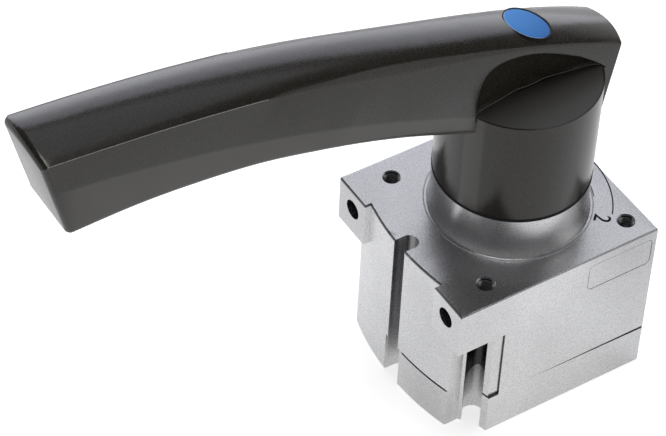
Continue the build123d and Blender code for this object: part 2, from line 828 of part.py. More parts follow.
def make_lever_screw():
    z0 = screw_seat + lever_washer_h
    screw = rod(screw_head_r, z0, z0 + screw_head_h) + rod(screw_r, screw_bottom, z0)
    hexagon = Pos(0, 0, z0 + screw_head_h / 2) * RegularPolygon(screw_hex / 2, 6, major_radius=False)
    return screw - extrude(hexagon, screw_head_h)


def make_lever_washer():
    return ring(screw_head_r + thread_clear, screw_r + thread_clear, screw_seat, screw_seat + lever_washer_h)


save(make_upper_housing(), "upper_housing")
save(make_base_housing(), "base_housing")
save(make_gasket(), "housing_gasket")
save(Compound(children=[make_clamp_screw(x, y) for x, y in clamp_places()]), "housing_screws")
save(Compound(children=make_port_seals()), "port_seals")
save(make_seat_disc(), "seat_disc")
save(rod(seat_pin_r, seam_z - seat_pin_long / 2, seam_z + seat_pin_long / 2, 0, -seat_pin_at), "seat_pin")
save(make_bush(), "spindle_bush")
save(make_shaft_seal(), "spindle_seal")
save(Compound(children=make_balls()), "detent_balls")
save(Compound(children=make_detent_springs()), "detent_springs")
save(make_stop_pin(), "stop_pin")
save(make_control_disc(), "control_disc")
save(make_spindle(), "spindle")
save(Compound(children=make_drive_pins()), "drive_pins")
save(Compound(children=make_disc_springs()), "disc_springs")
save(make_detent_plate(), "detent_plate")
save(make_thrust_washer(), "thrust_washer")
save(make_retaining_ring(), "retaining_ring")
save(make_lever(), "lever")
save(make_cap(), "cap")
save(make_lever_screw(), "lever_screw")
save(make_lever_washer(), "lever_washer")
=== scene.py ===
import bpy
import json
import math
from mathutils import Matrix, Vector


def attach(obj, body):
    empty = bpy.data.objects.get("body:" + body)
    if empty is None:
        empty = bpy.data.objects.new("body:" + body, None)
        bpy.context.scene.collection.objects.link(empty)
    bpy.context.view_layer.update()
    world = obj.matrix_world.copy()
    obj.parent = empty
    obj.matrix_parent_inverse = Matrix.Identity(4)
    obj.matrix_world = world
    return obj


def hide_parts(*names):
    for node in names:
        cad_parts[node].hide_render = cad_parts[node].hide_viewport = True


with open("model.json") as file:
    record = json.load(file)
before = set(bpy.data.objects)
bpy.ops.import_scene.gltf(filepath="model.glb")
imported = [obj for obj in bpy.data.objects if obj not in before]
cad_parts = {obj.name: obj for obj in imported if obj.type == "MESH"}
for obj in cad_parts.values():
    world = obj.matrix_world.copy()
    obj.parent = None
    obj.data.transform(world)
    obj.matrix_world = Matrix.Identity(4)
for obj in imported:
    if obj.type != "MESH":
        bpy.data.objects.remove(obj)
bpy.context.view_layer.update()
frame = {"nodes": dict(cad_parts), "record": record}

MM = 0.001

# Places in mm that the record gives
mounts = {mount["name"]: mount for mount in frame["record"]["mounts"]}
PLATE_Z = mounts["corner_threads"]["pos_m"][2] / MM
CORNER = mounts["corner_threads"]["dims"]["spacing_x_mm"] / 2
BORE_Z = mounts["cross_bore_front"]["pos_m"][2] / MM
PORT = mounts["port_right_rear"]["pos_m"][0] / MM
CORNERS = [(sx * CORNER, sy * CORNER) for sx in (-1, 1) for sy in (-1, 1)]
PORTS = [(sx * PORT, sy * PORT) for sx in (-1, 1) for sy in (-1, 1)]

# Further places of the solids in mm
LEFT_X = -33.0
RIGHT_X = 27.0
HALF_DEPTH = 28.2
LEFT_WALL_R = 77.0
LUG_Y = 16.0
RIB_X = -19.0
FLANGE_FOOT = 36.0
SEAM_Z = 13.8
COLLAR_FOOT_R = 21.5
COLLAR_LIP_Z = 62.5
CAP_R = 6.1
CAP_THICK = 2.2
CAP_Z = 110.2
CAP_TILT = math.radians(20.0)

# Points nearer than this are merged, in metres
MERGE = 0.002 * MM


# Small helpers

def let_go():
    """Leaves edit mode and deselects everything."""
    if bpy.context.object and bpy.context.object.mode != "OBJECT":
        bpy.ops.object.mode_set(mode="OBJECT")
    bpy.ops.object.select_all(action="DESELECT")


def pick(piece):
    let_go()
    piece.select_set(True)
    bpy.context.view_layer.objects.active = piece


def place_in_mesh(piece):
    pick(piece)
    bpy.ops.object.transform_apply(location=True, rotation=True, scale=True)


def apply_all(piece):
    pick(piece)
    for modifier in list(piece.modifiers):
        bpy.ops.object.modifier_apply(modifier=modifier.name)


def smooth(piece, degrees):
    pick(piece)
    bpy.ops.object.shade_smooth_by_angle(angle=math.radians(degrees))


def edit(piece, kind="VERT"):
    """Goes to edit mode with nothing selected."""
    pick(piece)
    bpy.ops.object.mode_set(mode="EDIT")
    bpy.ops.mesh.select_mode(type=kind)
    bpy.ops.mesh.select_all(action="DESELECT")


def choose(piece, kind, test):
    """Selects the vertices, edges or faces whose place in mm passes the test, and stays in edit mode."""
    edit(piece, kind)
    bpy.ops.object.mode_set(mode="OBJECT")
    mesh = piece.data
    if kind == "VERT":
        for vertex in mesh.vertices:
            vertex.select = test(vertex.co / MM)
    elif kind == "EDGE":
        for edge in mesh.edges:
            a, b = (mesh.vertices[i].co / MM for i in edge.vertices)
            edge.select = test(a, b)
    else:
        for face in mesh.polygons:
            face.select = test(face.center / MM, face.normal)
    bpy.ops.object.mode_set(mode="EDIT")


def face_outwards(piece):
    edit(piece)
    bpy.ops.mesh.select_all(action="SELECT")
    bpy.ops.mesh.remove_doubles(threshold=MERGE)
    bpy.ops.mesh.normals_make_consistent(inside=False)
    bpy.ops.object.mode_set(mode="OBJECT")


def named(name):
    """Names the newest object and puts its place in its mesh."""
    piece = bpy.context.object
    piece.name = name
    place_in_mesh(piece)
    return piece


def bar(name, x, y, z):
    """A bar from its ranges in mm, to be shaped further."""
    let_go()
    middle = [(low + high) / 2 * MM for low, high in (x, y, z)]
    bpy.ops.mesh.primitive_cube_add(size=1.0, location=middle)
    bpy.context.object.scale = [(high - low) * MM for low, high in (x, y, z)]
    return named(name)


def hoop(name, inner, outer, z0, z1, soft, steps=128):
    """A flat hoop round the turning axis with softened upper edges."""
    let_go()
    bpy.ops.mesh.primitive_circle_add(vertices=steps, radius=inner * MM, location=(0, 0, z0 * MM))
    piece = named(name)
    edit(piece, "EDGE")
    bpy.ops.mesh.select_all(action="SELECT")
    bpy.ops.mesh.extrude_edges_move()
    bpy.ops.transform.resize(value=(outer / inner, outer / inner, 1.0), center_override=(0, 0, z0 * MM))
    choose(piece, "FACE", lambda c, n: True)
    bpy.ops.mesh.extrude_region_move(TRANSFORM_OT_translate={"value": (0, 0, (z1 - z0) * MM)})
    face_outwards(piece)
    choose(piece, "EDGE", lambda a, b: min(a.z, b.z) > z1 - 0.001 and abs(a.xy.length - b.xy.length) < 0.001)
    bpy.ops.mesh.bevel(offset=soft * MM, segments=3)
    bpy.ops.object.mode_set(mode="OBJECT")
    smooth(piece, 60)
    return piece


def copy_to(piece, name, x, y):
    """A copy with its own mesh, moved in its mesh."""
    twin = bpy.data.objects.new(name, piece.data.copy())
    bpy.context.scene.collection.objects.link(twin)
    twin.location = (x * MM, y * MM, 0)
    place_in_mesh(twin)
    return twin


def dress(piece, material, body):
    """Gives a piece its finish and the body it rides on."""
    piece.data.materials.clear()
    piece.data.materials.append(material)
    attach(piece, body)


def skin_of(node, name, degrees):
    """A merged, smoothly shaded copy of a CAD node's mesh."""
    piece = bpy.data.objects.new(name, frame["nodes"][node].data.copy())
    bpy.context.scene.collection.objects.link(piece)
    pick(piece)
    if piece.data.has_custom_normals:
        bpy.ops.mesh.customdata_custom_splitnormals_clear()
    bpy.ops.object.mode_set(mode="EDIT")
    bpy.ops.mesh.select_all(action="SELECT")
    bpy.ops.mesh.remove_doubles(threshold=MERGE)
    bpy.ops.object.mode_set(mode="OBJECT")
    smooth(piece, degrees)
    return piece


# Finishes

def rgb(r, g, b):
    return (r, g, b, 1.0)


def socket(group, name, way, start=None):
    made = group.interface.new_socket(name=name, in_out=way, socket_type="NodeSocketFloat")
    if start is not None:
        made.default_value = start


def fine_grain():
    """The skin of cast and moulded pieces: a fine grain, a slow change of tone and a few specks."""
    group = bpy.data.node_groups.new("Fine grain skin", "ShaderNodeTree")
    socket(group, "Grain size", "INPUT", 3200.0)
    socket(group, "Cloud size", "INPUT", 60.0)
    for name in ("Grain", "Cloud", "Speck"):
        socket(group, name, "OUTPUT")
    add = group.nodes.new
    link = group.links.new
    given = add("NodeGroupInput")
    result = add("NodeGroupOutput")
    place = add("ShaderNodeTexCoord")
    grain = add("ShaderNodeTexNoise")
    grain.inputs["Detail"].default_value = 3.0
    grain.inputs["Roughness"].default_value = 0.65
    cloud = add("ShaderNodeTexNoise")
    cloud.inputs["Detail"].default_value = 4.0
    speck = add("ShaderNodeTexVoronoi")
    speck.feature = "F1"
    speck_size = add("ShaderNodeMath")
    speck_size.operation = "MULTIPLY"
    speck_size.inputs[1].default_value = 0.35
    dots = add("ShaderNodeMapRange")
    dots.inputs["From Max"].default_value = 0.16
    dots.inputs["To Min"].default_value = 1.0
    dots.inputs["To Max"].default_value = 0.0
    for pattern in (grain, cloud, speck):
        link(place.outputs["Object"], pattern.inputs["Vector"])
    link(given.outputs["Grain size"], grain.inputs["Scale"])
    link(given.outputs["Cloud size"], cloud.inputs["Scale"])
    link(given.outputs["Grain size"], speck_size.inputs[0])
    link(speck_size.outputs[0], speck.inputs["Scale"])
    link(speck.outputs["Distance"], dots.inputs["Value"])
    link(grain.outputs["Fac"], result.inputs["Grain"])
    link(cloud.outputs["Fac"], result.inputs["Cloud"])
    link(dots.outputs[0], result.inputs["Speck"])
    return group


GRAIN = fine_grain()


class Finish:
    """A material with a Principled shader and a short way to add nodes."""

    def __init__(self, name, **values):
        self.mat = bpy.data.materials.new(name)
        self.mat.use_nodes = True
        self.tree = self.mat.node_tree
        self.shader = self.tree.nodes["Principled BSDF"]
        self.fill(self.shader, values)

    def fill(self, node, values):
        for key, value in values.items():
            node.inputs[key.replace("_", " ")].default_value = value

    def node(self, kind, **values):
        added = self.tree.nodes.new(kind)
        self.fill(added, values)
        return added

    def link(self, source, target):
        self.tree.links.new(source, target)

    def grain(self, size, cloud):
        skin = self.node("ShaderNodeGroup")
        skin.node_tree = GRAIN
        self.fill(skin, {"Grain size": size, "Cloud size": cloud})
        return skin.outputs

    def spread(self, source, low, high, start=0.0, end=1.0):
        """Runs from low to high while the source runs from start to end, and stays level past both."""
        ramp = self.node("ShaderNodeMapRange", From_Min=start, From_Max=end, To_Min=low, To_Max=high)
        self.link(source, ramp.inputs["Value"])
        return ramp.outputs[0]

    def mix(self, factor, a, b):
        blend = self.node("ShaderNodeMix")
        blend.data_type = "RGBA"
        for value, index in ((factor, 0), (a, 6), (b, 7)):
            if isinstance(value, (float, tuple)):
                blend.inputs[index].default_value = value
            else:
                self.link(value, blend.inputs[index])
        return blend.outputs[2]

    def math(self, operation, *values):
        worked = self.node("ShaderNodeMath")
        worked.operation = operation
        for index, value in enumerate(values):
            if isinstance(value, float):
                worked.inputs[index].default_value = value
            else:
                self.link(value, worked.inputs[index])
        return worked.outputs[0]

    def place(self):
        coordinates = self.node("ShaderNodeTexCoord")
        xyz = self.node("ShaderNodeSeparateXYZ")
        self.link(coordinates.outputs["Object"], xyz.inputs[0])
        return xyz.outputs[0], xyz.outputs[1], xyz.outputs[2]

    def above(self, value, low, soft=0.1):
        """1 where a length is more than low mm."""
        return self.spread(value, 0.0, 1.0, (low - soft) * MM, (low + soft) * MM)

    def below(self, value, high, soft=0.1):
        """1 where a length is less than high mm."""
        return self.spread(value, 1.0, 0.0, (high - soft) * MM, (high + soft) * MM)

    def within(self, value, low, high, soft=0.1):
        return self.both(self.above(value, low, soft), self.below(value, high, soft))

    def both(self, first, *others):
        """Where all masks meet. A number among them makes the result weaker."""
        for other in others:
            first = self.math("MULTIPLY", first, other)
        return first

    def either(self, first, *others):
        for other in others:
            first = self.math("MAXIMUM", first, other)
        return first

    def away(self, a, a0, b, b0):
        """Distance from an axis, given two coordinates and its place in mm."""
        da = self.math("SUBTRACT", a, a0 * MM)
        db = self.math("SUBTRACT", b, b0 * MM)
        squares = self.math("ADD", self.math("MULTIPLY", da, da), self.math("MULTIPLY", db, db))
        return self.math("SQRT", squares)

    def bump(self, height, strength, distance):
        relief = self.node("ShaderNodeBump", Strength=strength, Distance=distance)
        self.link(height, relief.inputs["Height"])
        self.link(relief.outputs[0], self.shader.inputs["Normal"])

    def colour(self, source):
        self.link(source, self.shader.inputs["Base Color"])

    def rough(self, source):
        self.link(source, self.shader.inputs["Roughness"])


def slot_shade(f, x, y, z):
    """Painted shade in the upright slot in the left wall: dark walls, a painted highlight as a lighter streak
    on its back, and a foot whose painted shade fades downwards.
    """
    side = f.math("ABSOLUTE", y)
    slot = f.both(f.below(side, 2.5, 0.02), f.within(x, LEFT_X + 0.4, LEFT_X + 6.5),
                  f.within(z, SEAM_Z + 0.1, PLATE_Z - 0.1, 0.05))
    # painted highlight: the streak lifts the painted shade on the slot's back near the top
    streak = f.both(f.within(y, -1.6, 0.0, 0.5), f.within(x, LEFT_X + 3.4, LEFT_X + 6.5),
                    f.within(z, 45.0, 51.0, 3.0), 0.95)
    upper = f.both(slot, f.math("SUBTRACT", 1.0, streak), f.spread(z, 0.42, 0.62, 0.018, 0.046))
    foot = f.both(f.below(side, 3.25, 0.02), f.within(x, LEFT_X + 1.0, LEFT_X + 7.0),
                  f.below(z, SEAM_Z + 0.02, 0.02), f.spread(z, 0.0, 0.6, 0.003, 0.0142))
    return f.either(upper, foot)


def groove_shade(f, x, y, z):
    """Painted shade in the diagonal grooves under the left corners: black under the flange, paler from a
    round edge down.
    """
    side = f.math("ABSOLUTE", y)
    across = f.math("ADD", x, side)
    bulge = f.math("MULTIPLY", f.math("MULTIPLY", across, across), 230.0)
    inside = f.either(f.below(f.away(x, -CORNER, side, CORNER), 3.06, 0.02),
                      f.both(f.within(across, -3.6, 3.6, 0.05), f.within(x, -27.5, -21.0, 0.05)))
    upper = f.both(inside, f.within(side, 17.0, 27.0, 0.2), f.above(f.math("ADD", z, bulge), 15.9, 0.6),
                   f.below(z, FLANGE_FOOT - 0.01, 0.02), 0.95)
    lower = f.both(inside, f.spread(z, 0.0, 0.7, 0.004, 0.0155), f.below(z, 16.5, 0.5))
    return f.either(upper, lower)


def hole_shade(f, x, y, z):
    """Painted shade in the corner holes and their mouths, and in the cross bores."""
    side = f.math("ABSOLUTE", y)
    from_hole = f.away(f.math("ABSOLUTE", x), CORNER, side, CORNER)
    holes = f.both(f.below(from_hole, 2.2, 0.03),
                   f.within(z, FLANGE_FOOT + 0.5, PLATE_Z - 0.3, 0.06), 0.85)
    mouths = f.both(f.within(from_hole, 2.0, 2.43, 0.03),
                    f.within(z, PLATE_Z - 0.5, PLATE_Z - 0.01, 0.008), 0.5)
    bores = f.both(f.below(f.away(side, CORNER, z, BORE_Z), 2.8, 0.03),
                   f.within(x, LEFT_X + 0.3, RIGHT_X - 0.3), 0.35)
    return f.either(holes, mouths, bores)


def gap_shade(f, x, y, z):
    """Painted shade in the gap under the ribs and in the seam, and fine lines of painted shade beside the
    ribs and over the left wall.
    """
    side = f.math("ABSOLUTE", y)
    rib_gap = f.both(f.above(side, HALF_DEPTH - 3.3, 0.05), f.within(x, RIB_X - 4.3, RIB_X + 0.05, 0.05),
                     f.within(z, SEAM_Z - 0.7, SEAM_Z + 0.02, 0.04))
    seam = f.both(f.within(y, -21.0, -4.4, 0.2), f.below(x, LEFT_X + 4.0),
                  f.within(z, SEAM_Z - 0.58, SEAM_Z + 0.12, 0.06))
    left_edge = f.both(f.below(x, LEFT_X + 2.1, 0.05), f.within(side, 2.4, HALF_DEPTH - 0.2),
                       f.within(z, PLATE_Z - 0.6, PLATE_Z - 0.015, 0.01), 0.72)
    rib_line = f.both(f.above(side, HALF_DEPTH - 0.5, 0.02), f.within(x, RIB_X - 0.16, RIB_X + 0.1, 0.05),
                      f.within(z, SEAM_Z, FLANGE_FOOT - 0.1), 0.8)
    return f.either(rib_gap, seam, left_edge, rib_line)


def wall_light_and_shade(f, tone, x, y, z):
    """Painted light and shade on the walls: a painted highlight on the inner steps of the lugs, painted shade
    on the front wall growing to the right, and painted shade at the ends of the walls.
    """
    side = f.math("ABSOLUTE", y)
    front = f.below(y, -HALF_DEPTH + 0.7, 0.05)
    lug_step_highlight = f.both(f.within(side, LUG_Y - 0.02, LUG_Y + 0.02, 0.01), f.below(x, LEFT_X + 1.65, 0.02),
                      f.within(z, FLANGE_FOOT, PLATE_Z - 0.2), 0.9)
    front_right_shade = f.both(front, f.spread(x, 0.0, 1.0, -0.012, 0.022), 0.24)
    rear_lug = f.both(f.below(x, LEFT_X + 0.8), f.above(y, LUG_Y + 0.1),
                      f.within(z, FLANGE_FOOT - 0.1, PLATE_Z - 0.2))
    base_left = f.both(f.below(x, LEFT_X + 5.0), f.within(y, -22.0, -8.0, 4.0),
                       f.within(z, -0.5, SEAM_Z - 0.6, 0.8))
    front_corner = f.both(front, f.within(x, 10.0, RIGHT_X + 0.5, 6.0), f.above(z, 40.0, 5.0))
    # painted shade at the ends of the walls
    ends = f.both(f.either(rear_lug, base_left, front_corner), 0.17)
    tone = f.mix(lug_step_highlight, tone, rgb(0.96, 0.96, 0.96))
    tone = f.mix(front_right_shade, tone, rgb(0.10, 0.10, 0.098))
    return f.mix(ends, tone, rgb(0.10, 0.10, 0.10))


def cast_metal():
    """Blasted casting with a fine grain, painted light and shade on its walls, and painted shade in its
    slots, grooves, holes and gaps.
    """
    f = Finish("Blasted die-cast metal", Metallic=1.0)
    skin = f.grain(2600.0, 45.0)
    place = f.place()
    cloudy = f.spread(skin["Cloud"], 0.0, 1.0, 0.35, 0.65)
    tone = f.mix(cloudy, rgb(0.65, 0.65, 0.655), rgb(0.72, 0.72, 0.725))
    tone = f.mix(f.spread(skin["Grain"], 0.0, 0.7, 0.45, 0.7), tone, rgb(0.46, 0.46, 0.465))
    # painted light and shade on the walls
    tone = wall_light_and_shade(f, tone, *place)
    # painted shade: the slots, grooves, holes and gaps are mixed to near black
    dark = f.either(*(shade(f, *place) for shade in (slot_shade, groove_shade, hole_shade, gap_shade)))
    f.colour(f.mix(dark, tone, rgb(0.012, 0.012, 0.013)))
    f.rough(f.spread(skin["Grain"], 0.24, 0.33, 0.3, 0.7))
    f.bump(skin["Grain"], 0.15, 0.00012)
    return f.mat


def lever_plastic():
    """Glossy black plastic with matt dished shoulders that are paler outwards as painted light, painted light
    low on the flanks and painted shade at its foot.
    """
    f = Finish("Black moulded plastic", Metallic=0.0, IOR=1.46)
    skin = f.grain(3000.0, 30.0)
    x, y, z = f.place()
    side = f.math("ABSOLUTE", y)
    from_axis = f.away(x, 0.0, y, 0.0)
    dish = f.both(f.above(side, 5.45, 0.3), f.within(z, 93.9, 95.6, 0.15), f.below(from_axis, 19.8, 0.2))
    outward = f.spread(side, 0.3, 1.0, 0.007, 0.015)
    # painted light: the flanks are paler below a line that follows the arm: z = 0.0854 - 0.533 x - 1.61 x
    # squared, in metres
    bend = f.math("ADD", f.math("MULTIPLY", x, -0.533), f.math("MULTIPLY", f.math("MULTIPLY", x, x), -1.61))
    under_line = f.math("SUBTRACT", f.math("ADD", bend, 0.0854), z)
    flank = f.both(f.spread(under_line, 0.0, 1.0, -0.0003, 0.0007), f.within(x, -130.0, -16.0, 3.0),
                   f.within(side, 5.0, 10.0, 0.5))
    # painted shade at the lever's foot, in the gap over the collar's lip
    foot = f.both(f.within(z, COLLAR_LIP_Z, COLLAR_LIP_Z + 0.65, 0.05), f.above(from_axis, 19.9, 0.05))
    cloudy = f.spread(skin["Cloud"], 0.0, 1.0, 0.3, 0.7)
    tone = f.mix(cloudy, rgb(0.018, 0.015, 0.010), rgb(0.023, 0.020, 0.015))
    # painted light: the dished shoulders are paler towards the outside
    tone = f.mix(f.both(dish, outward), tone, rgb(0.082, 0.081, 0.076))
    tone = f.mix(flank, tone, rgb(0.082, 0.078, 0.070))
    tone = f.mix(f.spread(skin["Grain"], 0.0, 0.5, 0.5, 0.72), tone, rgb(0.085, 0.084, 0.078))
    dusty = f.mix(f.spread(skin["Speck"], 0.0, 0.45, 0.72, 1.0), tone, rgb(0.16, 0.16, 0.15))
    f.colour(f.mix(foot, dusty, rgb(0.004, 0.004, 0.004)))
    f.rough(f.either(f.spread(skin["Grain"], 0.15, 0.21, 0.3, 0.7), f.both(dish, 0.42), f.both(foot, 0.8)))
    f.bump(skin["Grain"], 0.16, 0.00008)
    return f.mat


def cap_plastic():
    """Satin blue plastic, with painted light and shade that make it a little paler to one side."""
    f = Finish("Blue cap plastic", Metallic=0.0, IOR=1.35, Specular_IOR_Level=0.3)
    skin = f.grain(2200.0, 90.0)
    x, y = f.place()[:2]
    cloudy = f.spread(skin["Cloud"], 0.0, 1.0, 0.3, 0.7)
    even = f.mix(cloudy, rgb(0.004, 0.25, 0.70), rgb(0.006, 0.28, 0.76))
    # painted light and shade across the cap
    across = f.spread(f.math("SUBTRACT", x, y), 0.0, 1.0, -0.008, 0.009)
    painted_side_light = f.mix(across, rgb(0.075, 0.33, 0.86), rgb(0.0, 0.09, 0.40))
    f.colour(f.mix(0.7, even, painted_side_light))
    f.rough(f.spread(skin["Grain"], 0.42, 0.55, 0.3, 0.7))
    f.bump(skin["Grain"], 0.15, 0.00005)
    return f.mat


def plain_metal(name, low, high, rough):
    f = Finish(name, Metallic=1.0)
    skin = f.grain(900.0, 120.0)
    f.colour(f.mix(skin["Cloud"], rgb(*low), rgb(*high)))
    f.rough(f.spread(skin["Grain"], rough - 0.05, rough + 0.08, 0.3, 0.7))
    f.bump(skin["Grain"], 0.1, 0.00004)
    return f.mat


def plain_matt(name, low, high, rough, shine=0.5):
    f = Finish(name, Metallic=0.0, Specular_IOR_Level=shine)
    skin = f.grain(1200.0, 100.0)
    f.colour(f.mix(skin["Cloud"], rgb(*low), rgb(*high)))
    f.rough(f.spread(skin["Grain"], rough - 0.06, rough + 0.08, 0.3, 0.7))
    f.bump(skin["Grain"], 0.12, 0.00005)
    return f.mat


CAST = cast_metal()
LEVER = lever_plastic()
CAP = cap_plastic()
STEEL = plain_metal("Zinc plated steel", (0.52, 0.52, 0.54), (0.62, 0.62, 0.64), 0.32)
GROUND = plain_metal("Ground steel", (0.48, 0.48, 0.5), (0.6, 0.6, 0.61), 0.25)
BALL = plain_metal("Polished ball steel", (0.72, 0.72, 0.73), (0.8, 0.8, 0.8), 0.1)
BRONZE = plain_metal("Sintered bronze", (0.42, 0.27, 0.12), (0.55, 0.37, 0.18), 0.45)
# The thread ridges are darker than the casting as painted shade in their holes.
SHADED_THREAD = plain_metal("Thread metal in painted shade", (0.22, 0.22, 0.225), (0.32, 0.32, 0.325), 0.3)
RUBBER = plain_matt("Black seal rubber", (0.012, 0.012, 0.012), (0.02, 0.02, 0.02), 0.6)
DISC = plain_matt("Pale bearing plastic", (0.72, 0.72, 0.69), (0.8, 0.8, 0.77), 0.5)
# Dark print for the marks on the flange, also used as painted shade in the gaps at the collar and behind the
# cap.
INK_AND_SHADE = plain_matt("Print and painted shade", (0.01, 0.01, 0.012), (0.016, 0.016, 0.018), 0.6, shine=0.12)
# Painted highlights: the collar's bead, the cap's rim, and lines on the lever's shoulders and creases.
EDGE = plain_matt("Painted highlight bead", (0.42, 0.42, 0.43), (0.50, 0.50, 0.51), 0.5)
CAP_RIM_HIGHLIGHT = plain_matt("Painted cap rim highlight", (0.30, 0.52, 0.80), (0.40, 0.60, 0.84), 0.35)
SHOULDER_HIGHLIGHT = plain_matt("Painted shoulder highlight", (0.10, 0.10, 0.095), (0.15, 0.148, 0.14), 0.4)
CREASE_HIGHLIGHT = plain_matt("Painted crease highlight", (0.20, 0.195, 0.185), (0.32, 0.315, 0.30), 0.4)


# Pieces

def solids():
    """Gives each solid its finish."""
    for finish, nodes in (
        (CAST, ("upper_housing", "base_housing")),
        (LEVER, ("lever",)),
        (CAP, ("cap",)),
        (STEEL, ("housing_screws", "lever_screw", "lever_washer", "drive_pins", "stop_pin", "seat_pin",
                 "disc_springs", "detent_springs", "retaining_ring")),
        (GROUND, ("spindle", "detent_plate", "seat_disc")),
        (BALL, ("detent_balls",)),
        (RUBBER, ("housing_gasket", "port_seals", "spindle_seal")),
        (BRONZE, ("spindle_bush",)),
        (DISC, ("control_disc", "thrust_washer")),
    ):
        for node in nodes:
            materials = frame["nodes"][node].data.materials
            materials.clear()
            materials.append(finish)


def edge_line(shell, name, thick, material, test):
    """A thin line laid on the sharp edges of a shell whose two ends pass the test."""
    edit(shell, "EDGE")
    bpy.ops.mesh.edges_select_sharp(sharpness=math.radians(28.0))
    bpy.ops.object.mode_set(mode="OBJECT")
    mesh = shell.data
    for edge in mesh.edges:
        a, b = (mesh.vertices[i].co / MM for i in edge.vertices)
        lengthwise = abs(a.x - b.x) > 0.7 * abs(a.y - b.y)
        edge.select = bool(edge.select and lengthwise and test(a) and test(b))
    bpy.ops.object.mode_set(mode="EDIT")
    bpy.ops.mesh.duplicate()
    bpy.ops.mesh.separate(type="SELECTED")
    bpy.ops.object.mode_set(mode="OBJECT")
    line = [piece for piece in bpy.context.selected_objects if piece is not shell][0]
    line.name = name
    pick(line)
    bpy.ops.object.convert(target="CURVE")
    line = bpy.context.object
    line.data.bevel_depth = thick / 2 * MM
    line.data.bevel_resolution = 1
    line.data.use_fill_caps = True
    bpy.ops.object.convert(target="MESH")
    line = bpy.context.object
    face_outwards(line)
    smooth(line, 50)
    dress(line, material, "hand_lever")


def soften(piece, wide, degrees):
    """Rounds the crisp edges of a shell a little, as in the mould."""
    pick(piece)
    bevel = piece.modifiers.new("soft edges", "BEVEL")
    bevel.width = wide * MM
    bevel.segments = 2
    bevel.limit_method = "ANGLE"
    bevel.angle_limit = math.radians(degrees)
    bevel.use_clamp_overlap = True
    apply_all(piece)
    smooth(piece, 28)


def castings():
    for node, name in (("upper_housing", "upper_casting"), ("base_housing", "base_casting")):
        piece = skin_of(node, name, 32)
        dress(piece, CAST, "housing")
        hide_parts(node)


def lever_shell():
    """The moulded lever with painted highlight lines along its creases and in the corners of its scooped
    shoulders.
    """

    def on_crease(point):
        return abs(point.y) > 8.3 and point.z > 120.0 and -133.6 < point.x < -64.0

    def in_scoop_corner(point):
        return 4.5 < abs(point.y) < 12.0 and 93.6 < point.z < 96.0 and point.xy.length < 19.6

    piece = skin_of("lever", "hand_lever_shell", 28)
    # painted highlight: a pale line laid along the creases
    edge_line(piece, "crease_highlight_line", 0.2, CREASE_HIGHLIGHT, on_crease)
    # painted highlight: a pale line in the corners of the scooped shoulders
    edge_line(piece, "shoulder_highlight_line", 0.24, SHOULDER_HIGHLIGHT, in_scoop_corner)
    soften(piece, 0.22, 36.0)
    dress(piece, LEVER, "hand_lever")
    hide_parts("lever")


def cut_thread(name, wall, crest, pitch, z0, turns, steps):
    """The ridge of an inside thread: a flat-topped section wound up the wall of its hole."""
    let_go()
    middle = (wall + crest) / 2
    bpy.ops.mesh.primitive_plane_add(
        size=1.0, location=(middle * MM, 0, z0 * MM), rotation=(math.pi / 2, 0, 0))
    bpy.context.object.scale = ((wall - crest) * MM, pitch * 0.86 * MM, 1.0)
    piece = named(name)
    choose(piece, "VERT", lambda c: c.x < middle)
    bpy.ops.transform.resize(value=(1.0, 1.0, 0.2), center_override=(0, 0, z0 * MM))
    bpy.ops.object.mode_set(mode="OBJECT")
    winding = piece.modifiers.new("winding", "SCREW")
    winding.axis = "Z"
    winding.screw_offset = pitch * MM
    winding.iterations = turns
    winding.steps = steps
    winding.render_steps = steps
    apply_all(piece)
    edit(piece)
    bpy.ops.mesh.select_all(action="SELECT")
    bpy.ops.mesh.fill_holes(sides=0)
    face_outwards(piece)
    smooth(piece, 35)
    return piece


def threads():
    """The ridges in the four corner holes and in the four ports."""
    screw_thread = cut_thread("corner_thread", wall=2.09, crest=1.78, pitch=0.8, z0=37.5, turns=15, steps=28)
    pipe_thread = cut_thread("port_thread", wall=6.57, crest=5.8, pitch=1.337, z0=1.5, turns=5, steps=48)
    for ridge, places in ((screw_thread, CORNERS), (pipe_thread, PORTS)):
        for number, (x, y) in enumerate(places):
            copied = copy_to(ridge, "%s_%d" % (ridge.name, number + 1), x, y)
            dress(copied, SHADED_THREAD, "housing")
        bpy.data.objects.remove(ridge)


def collar_rings():
    """A bead round the collar's foot, pale as a painted highlight, and painted shade as a dark line above its
    lip and a dark ring in the gap.
    """
    bead_r = COLLAR_FOOT_R + 0.32
    # a small bead whose pale colour is a painted highlight
    bead = hoop("collar_foot_highlight_bead", COLLAR_FOOT_R, bead_r, PLATE_Z - 0.1, PLATE_Z + 0.08, 0.06)
    dress(bead, EDGE, "housing")
    # painted shade: a dark line and a dark ring in the gap between the lever and the collar
    lip = hoop("collar_lip_shade_line", 20.32, 20.4, COLLAR_LIP_Z, COLLAR_LIP_Z + 0.8, 0.02)
    dress(lip, INK_AND_SHADE, "housing")
    gap = hoop("collar_gap_shade_ring", 19.45, 20.27, COLLAR_LIP_Z, COLLAR_LIP_Z + 0.36, 0.04)
    dress(gap, RUBBER, "housing")


def tilt_with_cap(piece):
    """Brings a piece that lies flat on the origin to the tilted seat of the cap."""
    piece.location = (0, 0, CAP_Z * MM)
    piece.rotation_euler = (0, CAP_TILT, 0)
    place_in_mesh(piece)


